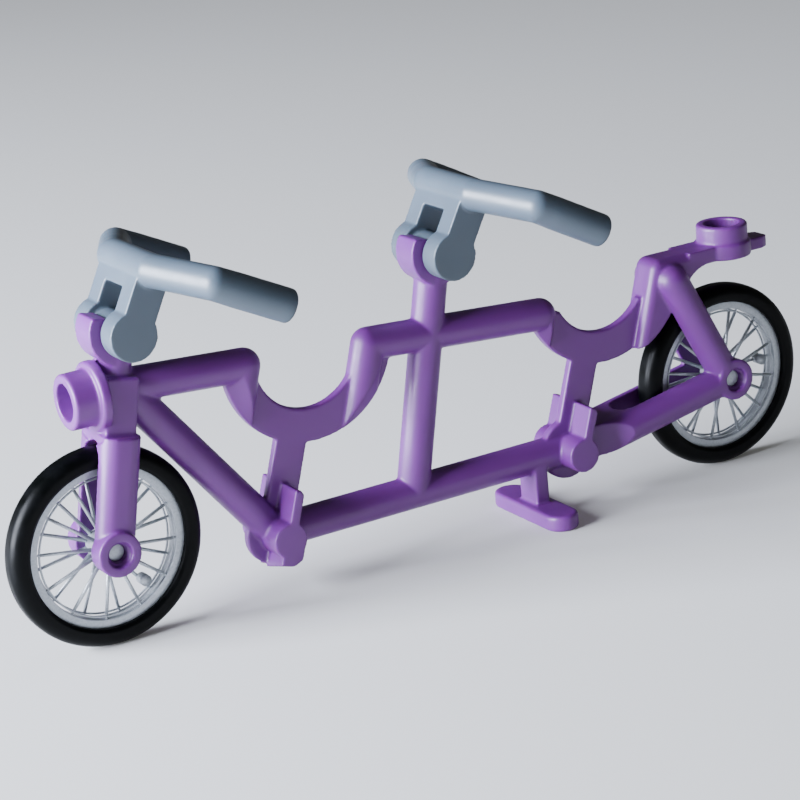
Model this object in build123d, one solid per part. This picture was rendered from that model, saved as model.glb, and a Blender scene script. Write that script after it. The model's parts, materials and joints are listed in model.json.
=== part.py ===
from build123d import *
from math import atan2, cos, degrees, radians, sin, sqrt, tan
import os

# A small tandem bicycle for construction-toy figures. X runs along it with the front towards -X,
# Y runs across it, Z is up, and the origin is on the ground midway between the wheels. Sizes in mm.

# overall layout
wheelbase = 64.0
wheel_radius = 8.75
rider_pitch = 30.6  # from the front rider's crank to the rear rider's crank
crank_middle_x = -0.85  # midway between the two cranks
crank_height = 5.65
head_lean = 10.8  # the head axis leans back by this angle, degrees
mid_lean = 11.3
tube_radius = 1.5

# top line of the frame
top_tube_height = 19.86  # height of the top tube's axis above the origin
top_tube_drop = 4.2  # the top tube falls to the rear by this angle, degrees

# head
hinge_rise = 18.45  # from the front axle to the handlebar hinge, along the head axis
head_bottom = 9.8  # measured from the axle along the head axis, as are the next values
head_top = 14.7
head_half_width = 2.0
head_front = 1.3
head_rear = 1.5
down_tube_rise = 14.2  # where the down tube's axis meets the head axis
lamp_height = 21.7  # the lamp stud points straight forward at this height
lamp_flange_radius = 3.0
lamp_flange_face = 0.3  # ahead of the front axle is minus, behind is plus
lamp_flange_thickness = 0.9
lamp_stud_length = 2.15
lamp_root_radius = 1.9
lamp_root_length = 1.2
lamp_clearance = 1.0  # round the flange, so that a lamp's sleeve clears the fork

# fork
fork_half_width = 2.95
fork_half_depth = 1.8
fork_behind = 0.1  # the blades' middle behind the head axis
fork_corner = 1.3
wheel_gap_half = 1.5  # half of the space between the fork blades, and between the stays
fork_arch_top = 9.1
boss_radius = 1.95
front_boss_face = 3.3
rear_boss_face = 3.1
axle_radius = 0.75
running_clearance = 0.05
countersink_radius = 1.1
countersink_depth = 0.45

# handlebar clip
clip_radius = 2.85
clip_forward = 0.15
clip_half_width = 1.45
clip_mouth = 1.15  # height of the clip's lips above the hinge axis
clip_lead_in = 0.35
clip_lead_depth = 0.5
clip_neck_below = 6.0

# saddle cradles and their posts
cradle_ahead = 4.7  # cradle centre behind its crank
cradle_rise = 15.4
cradle_inner_radius = 5.05
cradle_outer_radius = 8.25
cradle_outer_lift = 0.15  # the outer arc's centre lies this much above the inner arc's
cradle_outer_shift = 0.2  # and this much behind it
leg_taper = 1.5  # the legs thin down to the web over this much of the outer radius
web_half = 0.45
leg_lean = 16.0
front_leg_ahead = 5.93  # front leg axis ahead of the cradle centre, at the centre's height
rear_leg_behind = 6.43
post_width = 3.0

# cranks
chainring_radius = 2.8
crank_radius = 1.58
crank_half_width = 3.15
foot_plate_top = 4.45
foot_plate_front = 0.35
foot_plate_rear = 0.55
foot_plate_chamfer = 0.35
lug_drop = 3.0
lug_outer_drop = 2.25
lug_cut_low = 0.1
lug_cut_high = 1.65
lug_rear = 1.5

# mid tube and stand
mid_tube_behind = 14.05  # foot of the mid tube behind the front crank
mid_hinge_height = 27.1
stand_ahead = 3.75  # stand ahead of the rear crank
stand_post_x = 1.4
stand_post_y = 2.8
stand_foot_length = 11.3
stand_foot_width = 3.2
stand_foot_thickness = 1.5
stand_foot_edge = 0.3

# stays
stay_offset = 1.6  # sideways, from the middle to each stay's axis
stay_radius = 1.55
yoke_narrow_share = 0.35  # of the yoke's run, from the rear crank
yoke_broad_share = 0.8
seat_stay_foot_ahead = 0.25
seat_stay_top_ahead = 5.75
seat_stay_top_height = 19.4
slot_front_ahead = 10.6  # front end of the wheel slot ahead of the rear axle

# rack
rack_top = 21.5
rack_half_width = 1.7
rack_front_ahead = 7.4  # front face ahead of the rear axle, at the rack's top
rack_corner = 1.1
rack_stud_behind = 1.45
rack_plate_thickness = 1.4
rack_disc_radius = 2.65
rack_tab_behind = 6.0
rack_tab_half_width = 1.15
rack_tab_end_half = 0.8
rack_tab_corner = 0.7
rack_tab_step = 0.25
rack_arm_root_ahead = 3.6
rack_arm_sweep = 2.3
rack_arm_fall = 1.0
tyre_clearance = 0.45
rack_edge = 0.8

# standard stud and bar
stud_radius = 2.4
stud_height = 1.7
stud_bore_radius = 1.6
stud_bore_depth = 1.5

# wheels
tyre_half_width = 1.25
tyre_shoulder = 1.0
tyre_inner_radius = 7.05
tyre_lip_half_width = 1.05
rim_outer_radius = 7.15
rim_inner_radius = 6.34
rim_half_width = 0.7
hoop_outer_radius = 6.18
hoop_inner_radius = 6.02
hoop_offset = 0.5
hoop_half_width = 0.1
spoke_count = 12
spoke_stagger = 15.0
spoke_phase = 22.0
spoke_radius = 0.16
nub_radius = 0.11
nub_overlap = 0.06
spoke_hub_offset = 0.85
collar_thickness = 0.25
hub_radius = 1.05
hub_half_width = 1.3
axle_half_length = 2.3
wheel_disc_radius = 0.5
wheel_disc_place = 5.05
wheel_disc_angle = -51.5
wheel_disc_half_width = 0.5
rear_wheel_turn = 54.5  # the rear wheel stands turned by this much from the front one

# handlebars
bar_radius = 1.42
grip_radius = 1.46  # the grips are a touch thicker than the rest of the bar, for a sure hold
grip_start = 1.8  # past the bend, the bar swells to the full grip radius over this length
pin_radius = 1.5
front_bar_tilt = 27.0
rear_bar_tilt = 28.5
bar_height = 5.6  # middle of the bar above the hinge axis, in the handlebar's own plane
bar_bend_height = 6.3
bar_centre_back = -0.3
bar_bend_back = 2.4
bar_bend_side = 9.4
grip_end_back = 9.4
grip_end_side = 9.9
ear_radius = 2.13
ear_gap_half = 1.65
ear_outer_half = 3.7
arm_half_depth = 1.45
bridge_bottom = 3.6
grip_edge = 0.3

# derived places in the side view, as (x, z)
front_axle = (-wheelbase / 2, wheel_radius)
rear_axle = (wheelbase / 2, wheel_radius)
front_crank = (crank_middle_x - rider_pitch / 2, crank_height)
rear_crank = (crank_middle_x + rider_pitch / 2, crank_height)
front_cradle = (front_crank[0] + cradle_ahead, crank_height + cradle_rise)
rear_cradle = (rear_crank[0] + cradle_ahead, crank_height + cradle_rise)
post_lean = degrees(atan2(cradle_ahead, cradle_rise))
mid_foot = (front_crank[0] + mid_tube_behind, crank_height)
mid_rise = (mid_hinge_height - crank_height) / cos(radians(mid_lean))
head_frame = Location((front_axle[0], 0, front_axle[1]), (0, head_lean, 0))
mid_frame = Location((mid_foot[0], 0, mid_foot[1]), (0, mid_lean, 0))
clip_bore_radius = pin_radius + running_clearance
boss_bore_radius = axle_radius + running_clearance
stand_x = rear_crank[0] - stand_ahead


def top_line(x):
    """Height of the top tube's axis at x."""
    return top_tube_height - x * tan(radians(top_tube_drop))


def side_solid(outline, half_width):
    """A side-view outline made solid, as far to each side of the middle plane."""
    return extrude(Plane.XZ * outline, amount=half_width, both=True)


def outline(*points):
    return make_face(Polyline(*points, close=True))


def disc_at(centre, radius, half_width):
    return side_solid(Pos(centre[0], centre[1]) * Circle(radius), half_width)


def rod(start, end, radius):
    """A round bar between two (x, y, z) points."""
    first = Vector(*start)
    run = Vector(*end) - first
    bar = Cylinder(radius, run.length, align=(Align.CENTER, Align.CENTER, Align.MIN))
    return Plane(origin=first, z_dir=run).location * bar


def side_rod(start, end, radius=tube_radius):
    """A round bar in the middle plane between two side-view points."""
    return rod((start[0], 0, start[1]), (end[0], 0, end[1]), radius)


def keep(shape, side):
    """The half of a shape on one side of the middle plane: side is -1 for left of travel, 1 for right."""
    half = Box(300, 60, 300, align=(Align.CENTER, Align.MIN if side > 0 else Align.MAX, Align.CENTER))
    return shape & half


def on_line(point, angle, z):
    """The point at height z on a line through point that leans back by angle."""
    return (point[0] + (z - point[1]) * tan(radians(angle)), z)


# head, lamp socket and neck, in the head axis frame with the axle at its origin
def make_head():
    depth = head_front + head_rear
    height = head_top - head_bottom
    block = Box(depth, 2 * head_half_width, height, align=(Align.MIN, Align.CENTER, Align.MIN))
    return head_frame * (Pos(-head_front, 0, head_bottom) * block)


def hollow_stud(height):
    """A standard hollow stud standing up from the plane z = 0."""
    post = Cylinder(stud_radius, height, align=(Align.CENTER, Align.CENTER, Align.MIN))
    post = chamfer(post.edges().group_by(Axis.Z)[-1], 0.15)
    bore = Cylinder(stud_bore_radius, stud_bore_depth, align=(Align.CENTER, Align.CENTER, Align.MAX))
    return post - Pos(0, 0, height) * bore


def make_lamp_socket():
    upright = (Align.CENTER, Align.CENTER, Align.MIN)
    flange = Cylinder(lamp_flange_radius, lamp_flange_thickness, align=upright)
    flange = fillet(flange.edges().group_by(Axis.Z)[-1], 0.25)
    stud = Pos(0, 0, lamp_flange_thickness) * hollow_stud(lamp_stud_length)
    root = Pos(0, 0, -lamp_root_length) * Cylinder(lamp_root_radius, lamp_root_length, align=upright)
    flange_back = front_axle[0] + lamp_flange_face + lamp_flange_thickness
    return Location((flange_back, 0, lamp_height), (0, -90, 0)) * (flange + stud + root)


def make_clip(frame, rise, neck_bottom):
    """A neck with an open clip for the handlebar's pin, along a leaning axis."""
    neck_height = rise - neck_bottom
    neck = Cylinder(tube_radius, neck_height, align=(Align.CENTER, Align.CENTER, Align.MIN))
    below = Pos(0, clip_mouth) * Rectangle(4 * clip_radius, 4 * clip_radius, align=(Align.CENTER, Align.MAX))
    hook_body = side_solid((Pos(-clip_forward, 0) * Circle(clip_radius)) & below, clip_half_width)
    mouth_half = sqrt(clip_bore_radius**2 - clip_mouth**2) + clip_lead_in
    lead = outline(
        (-mouth_half, clip_mouth),
        (mouth_half, clip_mouth),
        (mouth_half - clip_lead_in, clip_mouth - clip_lead_depth),
        (clip_lead_in - mouth_half, clip_mouth - clip_lead_depth),
    )
    bore = disc_at((0, 0), clip_bore_radius, fork_half_width)
    hook_body = Pos(0, 0, rise) * hook_body
    cutter = Pos(0, 0, rise) * (bore + side_solid(lead, fork_half_width))
    return frame * ((Pos(0, 0, neck_bottom) * neck + hook_body) - cutter)


# fork: a crown and two blades with a rounded outside, split at the wheel slot
def make_fork():
    section = RectangleRounded(2 * fork_half_depth, 2 * fork_half_width, fork_corner)
    body = extrude(Pos(fork_behind, 0) * section, amount=head_bottom)
    slot_radius = wheel_gap_half
    slot_foot = boss_radius + 1
    slot = outline(
        (-slot_radius, -slot_foot),
        (slot_radius, -slot_foot),
        (slot_radius, fork_arch_top - slot_radius),
        (-slot_radius, fork_arch_top - slot_radius),
    )
    arch = Pos(0, fork_arch_top - slot_radius) * Circle(slot_radius)
    slot_cut = extrude(Plane.YZ * (Sketch() + [slot, arch]), amount=3 * fork_half_depth, both=True)
    boss = disc_at((0, 0), boss_radius, front_boss_face)
    fork = (body + boss) - slot_cut - axle_bores(front_boss_face)
    split = fork_arch_top - 2 * slot_radius
    crown = fork & Pos(0, 0, split) * Box(60, 60, 60, align=(Align.CENTER, Align.CENTER, Align.MIN))
    blades = fork & Pos(0, 0, split) * Box(60, 60, 60, align=(Align.CENTER, Align.CENTER, Align.MAX))
    lamp_space = Cylinder(
        lamp_flange_radius + lamp_clearance, wheel_radius, align=(Align.CENTER, Align.CENTER, Align.MIN)
    )
    lamp_space = Location((front_axle[0] + lamp_flange_face, 0, lamp_height), (0, -90, 0)) * lamp_space
    return (head_frame * crown) - lamp_space, head_frame * keep(blades, -1), head_frame * keep(blades, 1)


def axle_bores(face):
    """The stepped hole through both bosses, about the Y axis."""
    hole = disc_at((0, 0), boss_bore_radius, face + 1)
    sinks = []
    for side in (-1, 1):
        sink = Cylinder(countersink_radius, countersink_depth + 1)
        sink = Location((0, side * (face + (1 - countersink_depth) / 2), 0), (90, 0, 0)) * sink
        sinks.append(sink)
    return hole + sinks[0] + sinks[1]


# saddle cradle: a thin web between two arcs, with round legs at both ends
def cradle_outer_centre(centre):
    return (centre[0] + cradle_outer_shift, centre[1] + cradle_outer_lift)


def leg_limit(centre):
    """A disc about the outer arc's centre that thins where the legs run out into the web."""
    full = cradle_outer_radius - leg_taper
    section = outline(
        (0, -tube_radius),
        (full, -tube_radius),
        (cradle_outer_radius, -web_half),
        (cradle_outer_radius, web_half),
        (full, tube_radius),
        (0, tube_radius),
    )
    return Pos(centre[0], 0, centre[1]) * revolve(section, Axis.Y)


def make_cradle(centre, corner, rear_end, rear_corner):
    """corner and rear_corner are where the legs meet the top tube; rear_end is the last x, low and high."""
    outer_centre = cradle_outer_centre(centre)
    ring = Pos(*outer_centre) * Circle(cradle_outer_radius) - Pos(*centre) * Circle(cradle_inner_radius)
    low = centre[1] - 2 * cradle_outer_radius
    start = centre[0] - 2 * cradle_outer_radius
    cap = outline(
        (start, low),
        (rear_end[0], low),
        (rear_end[1], top_line(rear_end[1])),
        (start, top_line(start)),
    )
    body = side_solid(ring & cap, web_half)
    outer = leg_limit(outer_centre)
    leg_point = (centre[0] - front_leg_ahead, centre[1])
    body = body + (side_rod(on_line(leg_point, leg_lean, low), corner) & outer)
    if rear_corner:
        rear_point = (centre[0] + rear_leg_behind, centre[1])
        body = body + (side_rod(on_line(rear_point, leg_lean, low), rear_corner) & outer)
    return body


def make_post(crank, cradle):
    """The flat post from crank to cradle."""
    length = sqrt(cradle_ahead**2 + cradle_rise**2)
    post = Box(post_width, 2 * web_half, length, align=(Align.CENTER, Align.CENTER, Align.MIN))
    blank = Location((crank[0], 0, crank[1]), (0, post_lean, 0)) * post
    outer_centre = cradle_outer_centre(cradle)
    return blank - disc_at(outer_centre, cradle_outer_radius, fork_half_width)


def make_crank(centre, side, with_lug):
    """A boss with an upright foot plate, on one side of the chainring."""
    boss = Circle(crank_radius)
    plate = outline(
        (-foot_plate_front, 0),
        (foot_plate_rear, 0),
        (foot_plate_rear, foot_plate_top - foot_plate_chamfer),
        (foot_plate_rear - foot_plate_chamfer, foot_plate_top),
        (-foot_plate_front, foot_plate_top),
    )
    body = side_solid(boss, crank_half_width) + side_solid(plate, crank_half_width)
    if with_lug:
        taper = outline(
            (0, 0),
            (crank_half_width, 0),
            (crank_half_width, -lug_outer_drop),
            (web_half, -lug_drop),
            (0, -lug_drop),
        )
        lug = extrude(Plane.YZ * taper, amount=lug_drop, both=True)
        side_shape = outline(
            (-foot_plate_rear, 0),
            (lug_rear, 0),
            (lug_rear, -lug_cut_high),
            (-lug_cut_low, -lug_drop),
            (-foot_plate_rear, -lug_drop),
        )
        lug = (lug + mirror(lug, Plane.XZ)) & side_solid(side_shape, crank_half_width)
        body = body + lug
    body = keep(body, side) - disc_at((0, 0), chainring_radius + foot_plate_top, web_half)
    return Location((centre[0], 0, centre[1]), (0, post_lean, 0)) * body


def make_stand():
    foot = SlotOverall(stand_foot_length, stand_foot_width, rotation=90)
    foot = extrude(foot, amount=stand_foot_thickness)
    foot = fillet(foot.edges().group_by(Axis.Z)[-1] + foot.edges().group_by(Axis.Z)[0], stand_foot_edge)
    post_height = crank_height - stand_foot_thickness
    post = Box(stand_post_x, stand_post_y, post_height, align=(Align.CENTER, Align.CENTER, Align.MIN))
    return Pos(stand_x, 0, 0) * (foot + Pos(0, 0, stand_foot_thickness) * post)


# rear end: chain stays with a wheel slot, seat stays and dropout bosses
def wheel_slot():
    """The space the rear wheel turns in, round at its front end."""
    start = rear_axle[0] - slot_front_ahead
    slot = Pos(start, 0) * Circle(wheel_gap_half)
    length = wheel_radius + slot_front_ahead
    slot = slot + Pos(start, 0) * Rectangle(length, 2 * wheel_gap_half, align=(Align.MIN, Align.CENTER))
    return extrude(Pos(0, 0, -1) * slot, amount=rear_axle[1] + wheel_radius + 1)


def make_chain_stay(side):
    y = side * stay_offset
    slope = (rear_axle[1] - rear_crank[1]) / (rear_axle[0] - rear_crank[0])
    start = rear_axle[0] - slot_front_ahead
    start_z = rear_axle[1] - slope * slot_front_ahead
    return rod((start, y, start_z), (rear_axle[0], y, rear_axle[1]), stay_radius)


def make_yoke():
    """The solid stretch from the rear crank to the front of the wheel slot, widening to the rear."""
    angle = degrees(atan2(rear_axle[1] - rear_crank[1], rear_axle[0] - rear_crank[0]))
    run = (rear_axle[0] - slot_front_ahead - rear_crank[0]) / cos(radians(angle))
    broad = stay_offset + stay_radius
    body = extrude(SlotOverall(2 * broad, 2 * stay_radius, rotation=90), amount=run)
    narrow_end, broad_start = run * yoke_narrow_share, run * yoke_broad_share
    waist = outline(
        (0, -stay_radius),
        (narrow_end, -stay_radius),
        (broad_start, -broad),
        (run, -broad),
        (run, broad),
        (broad_start, broad),
        (narrow_end, stay_radius),
        (0, stay_radius),
    )
    body = body & extrude(Plane.ZY * waist, amount=2 * stay_radius, both=True)
    return Location((rear_crank[0], 0, rear_crank[1]), (0, 90 - angle, 0)) * body


def make_seat_stay(side):
    y = side * stay_offset
    foot = (rear_axle[0] - seat_stay_foot_ahead, y, rear_axle[1])
    top = (rear_axle[0] - seat_stay_top_ahead, y, seat_stay_top_height)
    return rod(foot, top, stay_radius) + Pos(*top) * Sphere(stay_radius)


def make_dropout(side):
    boss = keep(disc_at((0, 0), boss_radius, rear_boss_face), side) - axle_bores(rear_boss_face)
    return Pos(rear_axle[0], 0, rear_axle[1]) * boss


# rack: an upright block behind the rear cradle, an arm over the wheel, a disc with a stud and a tail tab
def rack_front(z):
    """x of the rack's front face at height z."""
    return on_line((rear_axle[0] - rack_front_ahead, rack_top), leg_lean, z)[0]


def make_rack_block():
    low = rear_cradle[1] - cradle_outer_radius
    root = rear_axle[0] - rack_arm_root_ahead
    front = (rack_front(low), low)
    profile = outline(front, (rack_front(rack_top), rack_top), (root, rack_top), (root, low))
    corner = profile.vertices().group_by(Axis.Y)[-1].sort_by(Axis.X)[0]
    profile = fillet(corner, rack_corner)
    outer_disc = Pos(*cradle_outer_centre(rear_cradle)) * Circle(cradle_outer_radius)
    arm_depth = rack_plate_thickness + rack_arm_fall
    arm = Pos(root, rack_top) * Rectangle(2 * rack_front_ahead, arm_depth, align=(Align.MAX, Align.MAX))
    profile = profile & (outer_disc + arm)
    block = side_solid(profile - Pos(*rear_axle) * Circle(wheel_radius + tyre_clearance), rack_half_width)
    front_edges = block.faces().sort_by(Axis.X)[0].edges().filter_by(lambda edge: abs((edge % 0.5).Y) < 0.1)
    return fillet(front_edges, rack_edge)


def make_rack_plate():
    stud_x = rear_axle[0] + rack_stud_behind
    root = rear_axle[0] - rack_arm_root_ahead
    under = rack_top - rack_plate_thickness
    sweep_end = root + rack_arm_sweep
    profile = outline(
        (root, rack_top),
        (stud_x, rack_top),
        (stud_x, under),
        (sweep_end, under),
        (sweep_end, under - rack_arm_fall),
        (root, under - rack_arm_fall),
    )
    sweep_radius = (rack_arm_sweep**2 + rack_arm_fall**2) / (2 * rack_arm_fall)
    profile = profile - Pos(sweep_end, under - sweep_radius) * Circle(sweep_radius)
    arm = side_solid(profile, rack_half_width)
    disc = Cylinder(rack_disc_radius, rack_plate_thickness, align=(Align.CENTER, Align.CENTER, Align.MAX))
    tab_end = rear_axle[0] + rack_tab_behind
    tab = outline(
        (stud_x, -rack_tab_half_width),
        (tab_end - rack_tab_corner, -rack_tab_half_width),
        (tab_end, -rack_tab_end_half),
        (tab_end, rack_tab_end_half),
        (tab_end - rack_tab_corner, rack_tab_half_width),
        (stud_x, rack_tab_half_width),
    )
    tab = extrude(Pos(0, 0, under) * tab, amount=rack_plate_thickness - rack_tab_step)
    return arm + Pos(stud_x, 0, rack_top) * disc + tab


def make_rack_stud():
    return Pos(rear_axle[0] + rack_stud_behind, 0, rack_top) * hollow_stud(stud_height)


# wheels, made about the Y axis at the origin
def ring_solid(points):
    """A ring turned from a section given as (radius, y) points."""
    section = Plane.XY * outline(*points)
    return revolve(section, Axis.Y)


def make_tyre():
    depth = wheel_radius - tyre_inner_radius
    section = Rectangle(depth, 2 * tyre_half_width, align=(Align.MIN, Align.CENTER))
    section = fillet(section.vertices().group_by(Axis.X)[-1], tyre_shoulder)
    section = chamfer(section.vertices().group_by(Axis.X)[0], tyre_half_width - tyre_lip_half_width)
    section = Pos(tyre_inner_radius, 0) * section
    seat_depth = rim_outer_radius - tyre_inner_radius
    seat = Rectangle(seat_depth, 2 * rim_half_width, align=(Align.MIN, Align.CENTER))
    seat = Pos(tyre_inner_radius, 0) * seat
    return revolve(section - seat, Axis.Y)


def spoke_turns():
    """Side and angle of every spoke: two rows, the right-hand row half a step round."""
    turns = []
    for side in (-1, 1):
        for index in range(spoke_count):
            turn = spoke_phase + 360 / spoke_count * index + (spoke_stagger if side > 0 else 0)
            turns.append((side, radians(turn)))
    return turns


def spoke_rod(turn, near, near_y, far, far_y, radius):
    """A thin rod from one radius to another at one angle round the axle."""
    start = (near * cos(turn), near_y, near * sin(turn))
    return rod(start, (far * cos(turn), far_y, far * sin(turn)), radius)


def ring_at(outer, inner, y, half_width):
    """A flat ring about the axle with its middle at y."""
    low, high = y - half_width, y + half_width
    return ring_solid([(inner, low), (outer, low), (outer, high), (inner, high)])


def make_rim():
    """The band that carries the tyre, and a thin hoop inside each face, held by a nub at each spoke."""
    rim = ring_at(rim_outer_radius, rim_inner_radius, 0, rim_half_width)
    for side in (-1, 1):
        rim = rim + ring_at(hoop_outer_radius, hoop_inner_radius, side * hoop_offset, hoop_half_width)
    near, far = hoop_outer_radius - nub_overlap, rim_inner_radius + nub_overlap
    for side, turn in spoke_turns():
        y = side * hoop_offset
        rim = rim + spoke_rod(turn, near, y, far, y, nub_radius)
    return rim


def make_hub():
    barrel = disc_at((0, 0), hub_radius, hub_half_width)
    axle = disc_at((0, 0), axle_radius, axle_half_length)
    return barrel + axle


def make_spokes(rim, hub):
    """Two staggered rows of spokes on a collar round the hub, and one small disc near the rim."""
    body = disc_at((0, 0), hub_radius + collar_thickness, spoke_hub_offset + spoke_radius)
    for side, turn in spoke_turns():
        hub_y, rim_y = side * spoke_hub_offset, side * hoop_offset
        far = hoop_inner_radius + nub_overlap
        body = body + spoke_rod(turn, hub_radius, hub_y, far, rim_y, spoke_radius)
    place = radians(wheel_disc_angle)
    middle = (wheel_disc_place * cos(place), wheel_disc_place * sin(place))
    disc = disc_at(middle, wheel_disc_radius, wheel_disc_half_width)
    return (body + disc) - rim - hub


# handlebars, made with the hinge axis on Y at the origin and the bar's plane level above it
def make_bar():
    mid = bar_centre_back
    centre = rod((mid, -ear_outer_half, bar_height), (mid, ear_outer_half, bar_height), bar_radius)
    body = centre
    for side in (-1, 1):
        inner = (mid, side * ear_outer_half, bar_height)
        bend = (bar_bend_back, side * bar_bend_side, bar_bend_height)
        end = (grip_end_back, side * grip_end_side, bar_bend_height)
        along = (Vector(*end) - Vector(*bend)).normalized()
        start = tuple(Vector(*bend) + along * grip_start)
        root = Solid.make_cone(bar_radius, grip_radius, grip_start, Plane(bend, z_dir=along))
        grip = rod(start, end, grip_radius)
        grip = fillet(grip.edges().filter_by(GeomType.CIRCLE).sort_by(Axis.X)[-1], grip_edge)
        body = body + rod(inner, bend, bar_radius) + root
        body = body + grip + Pos(*bend) * Sphere(bar_radius) + Pos(*inner) * Sphere(bar_radius)
    return body


def make_clevis(bar):
    body = None
    for side in (-1, 1):
        ear = Circle(ear_radius)
        arm = Rectangle(2 * arm_half_depth, bar_height, align=(Align.CENTER, Align.MIN))
        cheek = side_solid(Sketch() + [ear, arm], (ear_outer_half - ear_gap_half) / 2)
        cheek = Pos(0, side * (ear_outer_half + ear_gap_half) / 2, 0) * cheek
        body = cheek if body is None else body + cheek
    bridge_height = bar_height - bridge_bottom
    upright = (Align.CENTER, Align.CENTER, Align.MIN)
    bridge = Box(2 * arm_half_depth, 2 * ear_gap_half, bridge_height, align=upright)
    bridge = Pos(0, 0, bridge_bottom) * bridge
    return body + bridge - bar


def make_pin():
    return disc_at((0, 0), pin_radius, ear_gap_half)


def place_all():
    nodes = {}
    nodes["head_block"] = make_head()
    nodes["lamp_socket"] = make_lamp_socket()
    crown, blade_left, blade_right = make_fork()
    nodes["fork_crown"] = crown
    nodes["fork_blade_left"] = blade_left
    nodes["fork_blade_right"] = blade_right
    nodes["front_clip"] = make_clip(head_frame, hinge_rise, head_top)
    nodes["rear_clip"] = make_clip(mid_frame, mid_rise, mid_rise - clip_neck_below)
    nodes["mid_tube"] = mid_frame * Cylinder(
        tube_radius, mid_rise - clip_neck_below, align=(Align.CENTER, Align.CENTER, Align.MIN)
    )
    head_point = (
        front_axle[0] + down_tube_rise * sin(radians(head_lean)),
        front_axle[1] + down_tube_rise * cos(radians(head_lean)),
    )
    leg_x = front_cradle[0] - front_leg_ahead
    corner_front = (leg_x, top_line(leg_x))
    leg_x = front_cradle[0] + rear_leg_behind
    corner_middle = on_line((leg_x, front_cradle[1]), leg_lean, top_line(leg_x))
    leg_x = rear_cradle[0] - front_leg_ahead
    corner_rear = on_line((leg_x, rear_cradle[1]), leg_lean, top_line(leg_x))
    nodes["top_tube_front"] = side_rod((head_point[0], top_line(head_point[0])), corner_front)
    nodes["top_tube_front"] += Pos(corner_front[0], 0, corner_front[1]) * Sphere(tube_radius)
    nodes["down_tube"] = side_rod((head_point[0], head_point[1]), front_crank)
    mid_x = on_line(mid_foot, mid_lean, top_tube_height)[0]
    nodes["top_tube_middle"] = side_rod(corner_middle, (mid_x, top_line(mid_x)))
    nodes["top_tube_middle"] += Pos(corner_middle[0], 0, corner_middle[1]) * Sphere(tube_radius)
    nodes["top_tube_rear"] = side_rod((mid_x, top_line(mid_x)), corner_rear)
    nodes["top_tube_rear"] += Pos(corner_rear[0], 0, corner_rear[1]) * Sphere(tube_radius)
    nodes["keel_tube"] = side_rod(front_crank, rear_crank)
    nodes["chainring_front"] = disc_at(front_crank, chainring_radius, web_half)
    nodes["chainring_rear"] = disc_at(rear_crank, chainring_radius, web_half)
    beyond = front_cradle[0] + 2 * cradle_outer_radius
    low = rear_cradle[1] - 2 * cradle_outer_radius
    rack_end = (rack_front(low), rack_front(rear_cradle[1]))
    nodes["saddle_front"] = make_cradle(front_cradle, corner_front, (beyond, beyond), corner_middle)
    nodes["saddle_rear"] = make_cradle(rear_cradle, corner_rear, rack_end, None)
    nodes["seat_post_front"] = make_post(front_crank, front_cradle)
    nodes["seat_post_rear"] = make_post(rear_crank, rear_cradle)
    for name, side in (("left", -1), ("right", 1)):
        nodes[f"crank_{name}_front"] = make_crank(front_crank, side, True)
        nodes[f"crank_{name}_rear"] = make_crank(rear_crank, side, False)
        nodes[f"dropout_{name}"] = make_dropout(side)
        nodes[f"chain_stay_{name}"] = make_chain_stay(side)
        nodes[f"seat_stay_{name}"] = make_seat_stay(side)
    nodes["stay_yoke"] = make_yoke()
    nodes["kick_stand"] = make_stand()
    nodes["rack_block"] = make_rack_block()
    nodes["rack_plate"] = make_rack_plate()
    nodes["rack_stud"] = make_rack_stud()

    slot = wheel_slot()
    rear_bores = Pos(rear_axle[0], 0, rear_axle[1]) * axle_bores(rear_boss_face)
    for name in ("left", "right"):
        for kind in ("dropout", "chain_stay", "seat_stay"):
            nodes[f"{kind}_{name}"] = nodes[f"{kind}_{name}"] - slot - rear_bores
    nodes["stay_yoke"] = nodes["stay_yoke"] - slot
    return nodes


# where members of the moulding meet, the one named first keeps the shared material
claim_order = [
    "rack_stud", "rack_block", "rack_plate", "lamp_socket",
    "fork_crown", "fork_blade_left", "fork_blade_right",
    "head_block", "front_clip", "rear_clip", "dropout_left", "dropout_right",
    "crank_left_front", "crank_right_front", "crank_left_rear", "crank_right_rear",
    "chainring_front", "chainring_rear", "mid_tube", "saddle_front", "saddle_rear",
    "seat_post_front", "seat_post_rear", "top_tube_front", "top_tube_middle", "top_tube_rear",
    "keel_tube", "down_tube", "stay_yoke", "chain_stay_left", "chain_stay_right",
    "seat_stay_left", "seat_stay_right", "kick_stand",
]


def boxes_meet(first, second):
    a, b = first.bounding_box(), second.bounding_box()
    return (
        a.min.X < b.max.X and b.min.X < a.max.X and a.min.Y < b.max.Y and b.min.Y < a.max.Y
        and a.min.Z < b.max.Z and b.min.Z < a.max.Z
    )


def share_out(nodes):
    """Cut the members so that they meet face to face, and drop the slivers that tangent cuts leave."""
    shared = {}
    for name in claim_order:
        body = nodes[name]
        for other in shared.values():
            if boxes_meet(body, other):
                body = body - other
        shared[name] = body.solids().sort_by(SortBy.VOLUME)[-1]
    return shared


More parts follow.
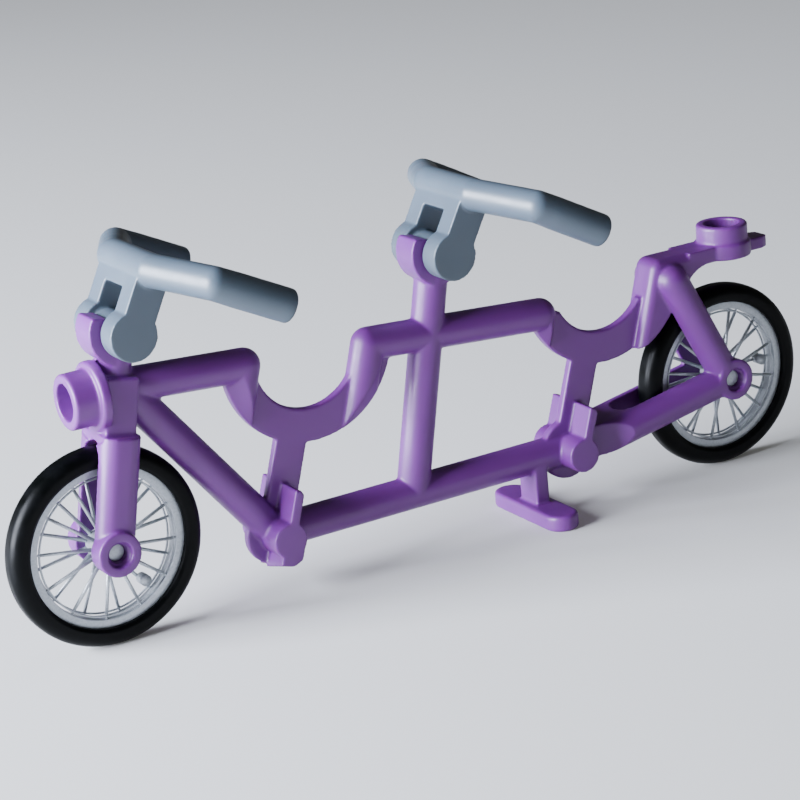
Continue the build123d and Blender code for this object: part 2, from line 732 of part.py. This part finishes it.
def main():
    os.makedirs("parts", exist_ok=True)
    nodes = share_out(place_all())
    tyre, rim, hub = make_tyre(), make_rim(), make_hub()
    spokes = make_spokes(rim, hub)
    for name, axle, turn in (("front", front_axle, 0), ("rear", rear_axle, rear_wheel_turn)):
        place = Location((axle[0], 0, axle[1]), (0, -turn, 0))
        nodes[f"{name}_tyre"] = place * tyre
        nodes[f"{name}_rim"] = place * rim
        nodes[f"{name}_hub"] = place * hub
        nodes[f"{name}_spokes"] = place * spokes
    bar = make_bar()
    clevis = make_clevis(bar)
    pin = make_pin()
    front_hinge = head_frame * Pos(0, 0, hinge_rise)
    rear_hinge = mid_frame * Pos(0, 0, mid_rise)
    for name, hinge, tilt in (("front", front_hinge, front_bar_tilt), ("rear", rear_hinge, rear_bar_tilt)):
        place = Location(hinge.position, (0, tilt, 0))
        nodes[f"{name}_bar"] = place * bar
        nodes[f"{name}_clevis"] = place * clevis
        nodes[f"{name}_pin"] = place * pin
    for name, body in nodes.items():
        export_step(body, f"parts/{name}.step")


main()
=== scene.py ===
import json
from math import cos, pi, radians, sin

import bmesh
import bpy
from mathutils import Matrix, Vector


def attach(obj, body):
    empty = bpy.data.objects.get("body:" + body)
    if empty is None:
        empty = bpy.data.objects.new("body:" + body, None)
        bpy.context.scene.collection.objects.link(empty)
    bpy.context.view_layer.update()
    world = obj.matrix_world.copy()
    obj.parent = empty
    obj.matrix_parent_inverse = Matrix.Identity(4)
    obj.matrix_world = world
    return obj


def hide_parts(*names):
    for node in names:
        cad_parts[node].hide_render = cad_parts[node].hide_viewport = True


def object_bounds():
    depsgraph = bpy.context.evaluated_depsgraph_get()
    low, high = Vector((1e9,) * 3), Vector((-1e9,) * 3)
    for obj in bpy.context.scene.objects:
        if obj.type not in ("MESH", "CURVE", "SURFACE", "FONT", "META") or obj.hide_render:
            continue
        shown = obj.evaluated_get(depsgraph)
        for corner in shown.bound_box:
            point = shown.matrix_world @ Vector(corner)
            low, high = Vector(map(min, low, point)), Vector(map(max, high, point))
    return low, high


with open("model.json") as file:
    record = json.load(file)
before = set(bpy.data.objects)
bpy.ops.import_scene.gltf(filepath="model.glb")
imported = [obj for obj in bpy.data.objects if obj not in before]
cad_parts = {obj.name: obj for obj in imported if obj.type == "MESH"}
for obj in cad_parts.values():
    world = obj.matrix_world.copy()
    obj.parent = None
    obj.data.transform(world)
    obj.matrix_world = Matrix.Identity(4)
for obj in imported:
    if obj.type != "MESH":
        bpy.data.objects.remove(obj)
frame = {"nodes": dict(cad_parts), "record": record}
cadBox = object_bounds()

nodes = frame["nodes"]
bodies = frame["record"]["behaviour"]["bodies"]
joints = {joint["name"]: joint for joint in frame["record"]["behaviour"]["joints"]}
mm = 0.001


def linear(hexColour):
    # sRGB hex to the linear colour a shader socket takes
    parts = [int(hexColour[i:i + 2], 16) / 255 for i in (1, 3, 5)]
    return [c / 12.92 if c <= 0.04045 else ((c + 0.055) / 1.055) ** 2.4 for c in parts] + [1.0]


def addNode(tree, kind, settings=None, links=None):
    # adds a node, sets its properties or sockets, and links its sockets
    node = tree.nodes.new(kind)
    for key, value in (settings or {}).items():
        if isinstance(key, str) and hasattr(node, key):
            setattr(node, key, value)
        else:
            node.inputs[key].default_value = value
    for key, output in (links or {}).items():
        tree.links.new(output, node.inputs[key])
    return node


def blankMaterial(name):
    material = bpy.data.materials.new(name)
    material.use_nodes = True
    material.node_tree.nodes.clear()
    return material, material.node_tree


mouldedFinish = {
    "cloudSize": 9.0,      # mm, slow drift of the pigment in the melt
    "peelSize": 0.55,      # mm, the faint orange peel of a polished tool
    "peelDepth": 0.004,    # mm
    "scuffSize": 2.2,      # mm, where fingers have dulled the gloss
}


def mouldedAbs(name, light, deep, roughLow, roughHigh):
    # injection-moulded ABS: a soft, slightly deep gloss with broad highlights and no grain
    material, tree = blankMaterial(name)
    coords = addNode(tree, "ShaderNodeTexCoord").outputs["Object"]
    cloudScale = 1 / (mouldedFinish["cloudSize"] * mm)
    cloud = addNode(tree, "ShaderNodeTexNoise", {"Scale": cloudScale, "Detail": 2.0}, {"Vector": coords})
    colour = addNode(tree, "ShaderNodeValToRGB", None, {"Fac": cloud.outputs["Fac"]})
    colour.color_ramp.elements[0].position, colour.color_ramp.elements[1].position = 0.3, 0.7
    colour.color_ramp.elements[0].color, colour.color_ramp.elements[1].color = linear(deep), linear(light)
    scuffScale = 1 / (mouldedFinish["scuffSize"] * mm)
    scuff = addNode(tree, "ShaderNodeTexNoise", {"Scale": scuffScale, "Detail": 4.0}, {"Vector": coords})
    rough = addNode(tree, "ShaderNodeMapRange",
                    {"From Min": 0.35, "From Max": 0.7, "To Min": roughLow, "To Max": roughHigh},
                    {"Value": scuff.outputs["Fac"]})
    peelScale = 1 / (mouldedFinish["peelSize"] * mm)
    peel = addNode(tree, "ShaderNodeTexNoise", {"Scale": peelScale, "Detail": 1.0}, {"Vector": coords})
    bump = addNode(tree, "ShaderNodeBump", {"Strength": 0.35, "Distance": mouldedFinish["peelDepth"] * mm},
                   {"Height": peel.outputs["Fac"]})
    shader = addNode(tree, "ShaderNodeBsdfPrincipled",
                     {"IOR": 1.53, "Subsurface Weight": 0.06, "Subsurface Scale": 0.0006},
                     {"Base Color": colour.outputs["Color"], "Roughness": rough.outputs["Result"],
                      "Normal": bump.outputs["Normal"]})
    addNode(tree, "ShaderNodeOutputMaterial", None, {"Surface": shader.outputs["BSDF"]})
    return material


flakeFinish = {"flakeSize": 0.16, "light": "#B4BAC0", "dark": "#A3A9B0", "metallic": 0.45}  # flake size in mm


def silverFlakeAbs(name):
    # ABS with aluminium flake: pale silver that glitters a little as it turns
    material, tree = blankMaterial(name)
    coords = addNode(tree, "ShaderNodeTexCoord").outputs["Object"]
    flakeScale = 1 / (flakeFinish["flakeSize"] * mm)
    flake = addNode(tree, "ShaderNodeTexVoronoi", {"Scale": flakeScale}, {"Vector": coords})
    colour = addNode(tree, "ShaderNodeValToRGB", None, {"Fac": flake.outputs["Color"]})
    colour.color_ramp.elements[0].color = linear(flakeFinish["dark"])
    colour.color_ramp.elements[1].color = linear(flakeFinish["light"])
    colour.color_ramp.elements[1].position = 0.6
    rough = addNode(tree, "ShaderNodeMapRange", {"To Min": 0.3, "To Max": 0.4},
                    {"Value": flake.outputs["Color"]})
    bump = addNode(tree, "ShaderNodeBump", {"Strength": 0.05, "Distance": 0.003 * mm},
                   {"Height": flake.outputs["Color"]})
    shader = addNode(tree, "ShaderNodeBsdfPrincipled", {"Metallic": flakeFinish["metallic"], "IOR": 1.5},
                     {"Base Color": colour.outputs["Color"], "Roughness": rough.outputs["Result"],
                      "Normal": bump.outputs["Normal"]})
    addNode(tree, "ShaderNodeOutputMaterial", None, {"Surface": shader.outputs["BSDF"]})
    return material


rubberFinish = {"light": "#030406", "deep": "#010202", "mottle": 1.4, "grain": 0.18}  # mm


def softBlackRubber(name):
    # moulded thermoplastic rubber: near black, a low satin sheen, fine matt grain
    material, tree = blankMaterial(name)
    coords = addNode(tree, "ShaderNodeTexCoord").outputs["Object"]
    mottleScale = 1 / (rubberFinish["mottle"] * mm)
    mottle = addNode(tree, "ShaderNodeTexNoise", {"Scale": mottleScale, "Detail": 5.0}, {"Vector": coords})
    colour = addNode(tree, "ShaderNodeValToRGB", None, {"Fac": mottle.outputs["Fac"]})
    colour.color_ramp.elements[0].position, colour.color_ramp.elements[1].position = 0.35, 0.75
    colour.color_ramp.elements[0].color = linear(rubberFinish["deep"])
    colour.color_ramp.elements[1].color = linear(rubberFinish["light"])
    rough = addNode(tree, "ShaderNodeMapRange",
                    {"From Min": 0.3, "From Max": 0.7, "To Min": 0.3, "To Max": 0.46},
                    {"Value": mottle.outputs["Fac"]})
    grainScale = 1 / (rubberFinish["grain"] * mm)
    grain = addNode(tree, "ShaderNodeTexNoise", {"Scale": grainScale, "Detail": 2.0}, {"Vector": coords})
    bump = addNode(tree, "ShaderNodeBump", {"Strength": 0.3, "Distance": 0.008 * mm},
                   {"Height": grain.outputs["Fac"]})
    shader = addNode(tree, "ShaderNodeBsdfPrincipled", {"IOR": 1.5, "Specular IOR Level": 0.1},
                     {"Base Color": colour.outputs["Color"], "Roughness": rough.outputs["Result"],
                      "Normal": bump.outputs["Normal"]})
    addNode(tree, "ShaderNodeOutputMaterial", None, {"Surface": shader.outputs["BSDF"]})
    return material


lavenderAbs = mouldedAbs("LavenderAbs", "#672A7E", "#612777", 0.36, 0.48)
blueGreyAbs = mouldedAbs("BlueGreyAbs", "#4C5864", "#47535E", 0.36, 0.48)
silverAbs = silverFlakeAbs("SilverFlakeAbs")
blackRubber = softBlackRubber("BlackRubber")
print("materials made")


def finished(name, mesh, material, body, replaced):
    for polygon in mesh.polygons:
        polygon.use_smooth = True
    mesh.materials.clear()
    mesh.materials.append(material)
    piece = bpy.data.objects.new(name, mesh)
    bpy.context.scene.collection.objects.link(piece)
    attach(piece, body)
    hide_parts(*replaced)
    return piece


def bakedMesh(piece):
    # the mesh with its modifiers applied
    depsgraph = bpy.context.evaluated_depsgraph_get()
    return bpy.data.meshes.new_from_object(piece.evaluated_get(depsgraph))


def mouldedSkin(name, members, skin):
    # the CAD members melted into one skin, with the small fillets of a mould
    shell = bmesh.new()
    for member in members:
        single = bmesh.new()
        single.from_mesh(nodes[member].data)
        bmesh.ops.remove_doubles(single, verts=single.verts[:], dist=0.0005 * mm)
        welded = bpy.data.meshes.new("welded")
        single.to_mesh(welded)
        single.free()
        shell.from_mesh(welded)
        bpy.data.meshes.remove(welded)
    rough = bpy.data.meshes.new(name + "Rough")
    shell.to_mesh(rough)
    shell.free()
    carrier = bpy.data.objects.new(name + "Carrier", rough)
    bpy.context.scene.collection.objects.link(carrier)
    remesh = carrier.modifiers.new("remesh", "REMESH")
    remesh.mode = "VOXEL"
    remesh.voxel_size = skin["voxel"] * mm
    smooth = carrier.modifiers.new("smooth", "SMOOTH")
    smooth.factor = 0.5
    smooth.iterations = skin["smoothing"]
    carrier.data = bakedMesh(carrier)
    carrier.modifiers.clear()
    triangles = sum(len(polygon.vertices) - 2 for polygon in carrier.data.polygons)
    thin = carrier.modifiers.new("thin", "DECIMATE")
    thin.ratio = min(1.0, skin["triangles"] / triangles)
    mesh = bakedMesh(carrier)
    bpy.data.objects.remove(carrier)
    mesh.name = name
    print(name, "skin:", triangles, "triangles thinned to", len(mesh.polygons))
    return mesh


frameSkin = {"voxel": 0.12, "smoothing": 5, "triangles": 190000}
mesh = mouldedSkin("frameMoulding", bodies["frame"], frameSkin)
finished("frameMoulding", mesh, lavenderAbs, "frame", bodies["frame"])

handlebarSkin = {"voxel": 0.1, "smoothing": 5, "triangles": 90000}
for end in ("front", "rear"):
    members = bodies[end + "_handlebar"]
    mesh = mouldedSkin(end + "Handlebar", members, handlebarSkin)
    finished(end + "Handlebar", mesh, blueGreyAbs, end + "_handlebar", members)
print("mouldings made")


def turned(bm, corners, rounds, steps):
    # a closed section of (radius, y) corners in mm, rounded by name of corner, spun about the axle
    points = [bm.verts.new((r * mm, y * mm, 0)) for r, y in corners]
    start = set(bm.verts) - set(points)
    bm.faces.new(points)
    for size, segments, which in rounds:
        chosen = [points[i] for i in which]
        bmesh.ops.bevel(bm, geom=chosen, offset=size * mm, offset_type="OFFSET", segments=segments,
                        profile=0.5, affect="VERTICES", material=-1)
    fresh = [v for v in bm.verts if v not in start]
    faces = list({f for v in fresh for f in v.link_faces})
    bmesh.ops.delete(bm, geom=faces, context="FACES_ONLY")
    edges = list({e for v in fresh for e in v.link_edges})
    bmesh.ops.spin(bm, geom=fresh + edges, cent=(0, 0, 0), axis=(0, 1, 0), dvec=(0, 0, 0), angle=2 * pi,
                   steps=steps, use_merge=True)


def closedMesh(bm, name, axle):
    # normals outward, then the piece goes to its axle
    bmesh.ops.remove_doubles(bm, verts=bm.verts[:], dist=0.001 * mm)
    bmesh.ops.recalc_face_normals(bm, faces=bm.faces[:])
    bmesh.ops.translate(bm, verts=bm.verts[:], vec=axle)
    mesh = bpy.data.meshes.new(name)
    bm.to_mesh(mesh)
    bm.free()
    return mesh


def bar(bm, start, end, startRadius, endRadius, sides):
    # a closed round bar between two points in mm
    first, last = Vector(start) * mm, Vector(end) * mm
    run = last - first
    place = Matrix.Translation((first + last) / 2) @ run.to_track_quat("Z", "Y").to_matrix().to_4x4()
    bmesh.ops.create_cone(bm, cap_ends=True, segments=sides, radius1=startRadius * mm, radius2=endRadius * mm,
                          depth=run.length, matrix=place)


tyreShape = {
    "outer": 8.75, "inner": 7.05, "half": 1.25, "lipHalf": 1.05, "lipStep": 0.3, "tread": 1.0, "steps": 160,
}


def makeTyre(name, axle):
    t = tyreShape
    corners = [(t["inner"], -t["lipHalf"]), (t["inner"] + t["lipStep"], -t["half"]), (t["outer"], -t["half"]),
               (t["outer"], t["half"]), (t["inner"] + t["lipStep"], t["half"]), (t["inner"], t["lipHalf"])]
    bm = bmesh.new()
    turned(bm, corners, [(t["tread"], 10, (2, 3)), (0.08, 3, (0, 1, 4, 5))], t["steps"])
    return closedMesh(bm, name, axle)


wheelShape = {
    "rimOuter": 7.12, "rimInner": 6.34, "rimHalf": 0.7,
    "hoopOuter": 6.18, "hoopInner": 6.02, "hoopPlace": 0.5, "hoopHalf": 0.1, "nub": 0.11,
    "spokes": 12, "phase": 22.0, "stagger": 15.0, "spokeRoot": 0.18, "spokeTip": 0.14, "hubHalf": 0.85,
    "hub": 1.05, "hubWidth": 1.3, "collar": 1.3, "collarHalf": 1.02, "axle": 0.75, "axleHalf": 2.3,
    "discRadius": 0.5, "discPlace": 5.05, "discHalf": 0.5, "discAngle": -51.5, "rearTurn": 54.5,
}


def makeWheel(name, axle, wheelTurn):
    w = wheelShape
    bm = bmesh.new()
    rim = [(w["rimOuter"], -w["rimHalf"]), (w["rimOuter"], w["rimHalf"]), (w["rimInner"], w["rimHalf"]),
           (w["rimInner"], -w["rimHalf"])]
    turned(bm, rim, [(0.07, 3, range(4))], 160)
    for side in (-1, 1):
        low, high = side * w["hoopPlace"] - w["hoopHalf"], side * w["hoopPlace"] + w["hoopHalf"]
        hoop = [(w["hoopInner"], low), (w["hoopOuter"], low), (w["hoopOuter"], high), (w["hoopInner"], high)]
        turned(bm, hoop, [(0.05, 2, range(4))], 160)
        for index in range(w["spokes"]):
            step = 360 / w["spokes"] * index + (w["stagger"] if side > 0 else 0)
            turn = radians(w["phase"] + wheelTurn + step)
            along = lambda radius, y: (radius * cos(turn), side * y, radius * sin(turn))
            bar(bm, along(w["hub"], w["hubHalf"]), along(w["hoopInner"] + 0.06, w["hoopPlace"]),
                w["spokeRoot"], w["spokeTip"], 10)
            bar(bm, along(w["hoopOuter"] - 0.06, w["hoopPlace"]), along(w["rimInner"] + 0.06, w["hoopPlace"]),
                w["nub"], w["nub"], 8)
    half = [(0.0, w["axleHalf"]), (w["axle"], w["axleHalf"]), (w["axle"], w["hubWidth"]),
            (w["hub"], w["hubWidth"]), (w["hub"], w["collarHalf"]), (w["collar"], w["collarHalf"])]
    hub = [(radius, -y) for radius, y in half] + half[::-1]
    turned(bm, hub, [(0.07, 2, range(1, len(hub) - 1))], 64)
    place = radians(w["discAngle"] + wheelTurn)
    x, z = w["discPlace"] * cos(place), w["discPlace"] * sin(place)
    bar(bm, (x, -w["discHalf"], z), (x, w["discHalf"], z), w["discRadius"], w["discRadius"], 32)
    return closedMesh(bm, name, axle)


for end in ("front", "rear"):
    axle = Vector(joints[end + "_wheel_spin"]["pos_m"])
    body = end + "_wheel"
    wheelTurn = wheelShape["rearTurn"] if end == "rear" else 0.0
    finished(end + "Tyre", makeTyre(end + "Tyre", axle), blackRubber, body, [end + "_tyre"])
    name = end + "WheelMoulding"
    members = [end + "_rim", end + "_hub", end + "_spokes"]
    finished(name, makeWheel(name, axle, wheelTurn), silverAbs, body, members)
print("wheels made")


studio = {
    "floorColour": "#D2D2D0", "floorGlow": 0.08, "skyColour": "#FFFDF8", "sky": 0.10,
    "key": {"place": (-0.42, 0.04, 0.12), "size": 0.30, "power": 19.0, "colour": "#EAF0FF"},
    "fill": {"place": (-0.10, -0.45, 0.16), "size": 0.40, "power": 0.05, "colour": "#FFFFFF"},
}


def makeFloor():
    bm = bmesh.new()
    bmesh.ops.create_grid(bm, x_segments=1, y_segments=1, size=2.0)
    mesh = bpy.data.meshes.new("studioFloor")
    bm.to_mesh(mesh)
    bm.free()
    material, tree = blankMaterial("PaleFloor")
    coords = addNode(tree, "ShaderNodeTexCoord").outputs["Object"]
    noise = addNode(tree, "ShaderNodeTexNoise", {"Scale": 6.0}, {"Vector": coords})
    rough = addNode(tree, "ShaderNodeMapRange", {"To Min": 0.75, "To Max": 0.85},
                    {"Value": noise.outputs["Fac"]})
    shader = addNode(tree, "ShaderNodeBsdfPrincipled", {"Base Color": linear(studio["floorColour"]),
                      "Emission Color": linear(studio["floorColour"]),
                      "Emission Strength": studio["floorGlow"]},
                     {"Roughness": rough.outputs["Result"]})
    addNode(tree, "ShaderNodeOutputMaterial", None, {"Surface": shader.outputs["BSDF"]})
    mesh.materials.append(material)
    floor = bpy.data.objects.new("studioFloor", mesh)
    bpy.context.scene.collection.objects.link(floor)


def makeLight(name, setup, target):
    data = bpy.data.lights.new(name, "AREA")
    data.energy = setup["power"]
    data.size = setup["size"]
    data.color = linear(setup["colour"])[:3]
    lamp = bpy.data.objects.new(name, data)
    lamp.location = setup["place"]
    lamp.rotation_euler = (target - Vector(setup["place"])).to_track_quat("-Z", "Y").to_euler()
    bpy.context.scene.collection.objects.link(lamp)


makeFloor()
middle = (Vector(cadBox[0]) + Vector(cadBox[1])) / 2
for name in ("key", "fill"):
    makeLight(name, studio[name], middle)
world = bpy.data.worlds.new("studioSky")
world.use_nodes = True
world.node_tree.nodes["Background"].inputs["Color"].default_value = linear(studio["skyColour"])
world.node_tree.nodes["Background"].inputs["Strength"].default_value = studio["sky"]
bpy.context.scene.world = world

viewpoint = {
    "place": (-0.11151, -0.19516, 0.08572), "right": 29.182, "down": 17.696, "roll": -5.383, "lens": 119.86,
}
cameraData = bpy.data.cameras.new("viewCamera")
cameraData.lens = viewpoint["lens"]
cameraData.sensor_width = 36.0
cameraData.clip_start = 0.01
camera = bpy.data.objects.new("viewCamera", cameraData)
heading = Matrix.Rotation(radians(-viewpoint["right"]), 4, "Z")
tilt = Matrix.Rotation(radians(90 - viewpoint["down"]), 4, "X")
roll = Matrix.Rotation(radians(viewpoint["roll"]), 4, "Z")
camera.matrix_world = Matrix.Translation(viewpoint["place"]) @ heading @ tilt @ roll
bpy.context.scene.collection.objects.link(camera)
bpy.context.scene.camera = camera
print("studio made")
